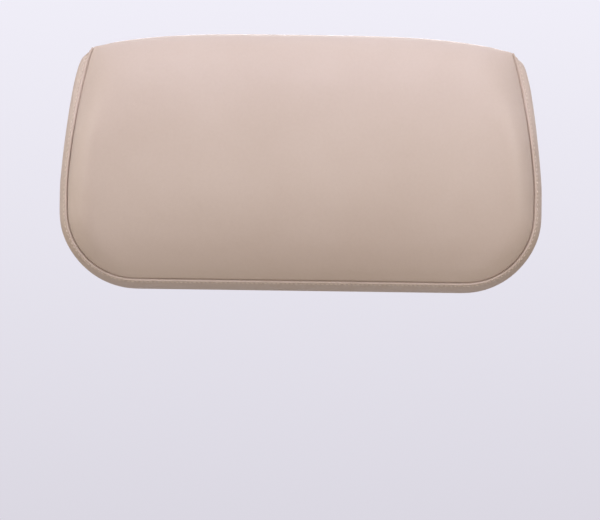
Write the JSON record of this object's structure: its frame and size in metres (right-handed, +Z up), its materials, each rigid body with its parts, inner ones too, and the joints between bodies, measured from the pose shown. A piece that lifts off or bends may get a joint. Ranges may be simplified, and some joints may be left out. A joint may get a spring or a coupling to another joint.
{
  "type": "chair headrest attachment",
  "caption": "Wide upholstered chair headrest with a banded edge, tilting on a bent steel post frame that slides in a guide housing bolted behind the backrest.",
  "frame": {"origin": "centre of the four mounting holes, on the rubber face that lies against the rear of the backrest", "axes": "+Z up, -Y forward to the sitter and out of the mounting face, +X across the pad to the viewer's right"},
  "size_m": [0.44, 0.138, 0.233],
  "materials": {
    "leather": "smooth, fine grain",
    "rear_leather": "smooth",
    "foam": "moulded foam",
    "wadding": "fibre wadding",
    "plywood": "moulded plywood",
    "post_steel": "satin",
    "plate_steel": "satin black",
    "zinc": "zinc plated",
    "spring_steel": "oiled",
    "rubber": "matte",
    "housing_plastic": "fine texture",
    "nylon": "smooth",
    "clamp_plastic": "glass filled"
  },
  "bodies": {
    "chair_side": {"backrest_pad": "rubber", "base_plate": "plate_steel", "guide_housing": "housing_plastic", "housing_cover": "housing_plastic", "housing_screws": "zinc", "cover_screws": "zinc", "guide_sleeve_left": "nylon", "guide_sleeve_right": "nylon", "detent_spring": "spring_steel", "button_spring": "spring_steel"},
    "button": {"release_button": "housing_plastic"},
    "posts": {"post_frame": "post_steel", "stop_clips": "spring_steel"},
    "pad": {"pad_board": "plywood", "pivot_block_left": "clamp_plastic", "pivot_block_right": "clamp_plastic", "pivot_cap_left": "clamp_plastic", "pivot_cap_right": "clamp_plastic", "friction_bush_left": "nylon", "friction_bush_right": "nylon", "clamp_screws": "zinc", "board_tee_nuts": "zinc", "foam_core": "foam", "wadding_layer": "wadding", "front_cover": "leather", "border_band": "leather", "rear_cover": "rear_leather", "slot_bezel_left": "nylon", "slot_bezel_right": "nylon", "rear_cover_clips": "nylon"}
  },
  "joints": [
    {"name": "height_slide", "type": "slide", "parent": "chair_side", "child": "posts", "axis": [0, 0, 1], "range_m": [0, 0.06], "deforming": ["detent_spring"]},
    {"name": "pad_tilt", "type": "hinge", "parent": "posts", "child": "pad", "pos_m": [0, -0.06, 0.07], "axis": [-1, 0, 0], "range_deg": [0, 30]},
    {"name": "button_press", "type": "slide", "parent": "chair_side", "child": "button", "axis": [1, 0, 0], "range_m": [0, 0.0035], "stiffness_N_per_m": 800, "springref_m": -0.003, "deforming": ["button_spring", "detent_spring"]}
  ]
}
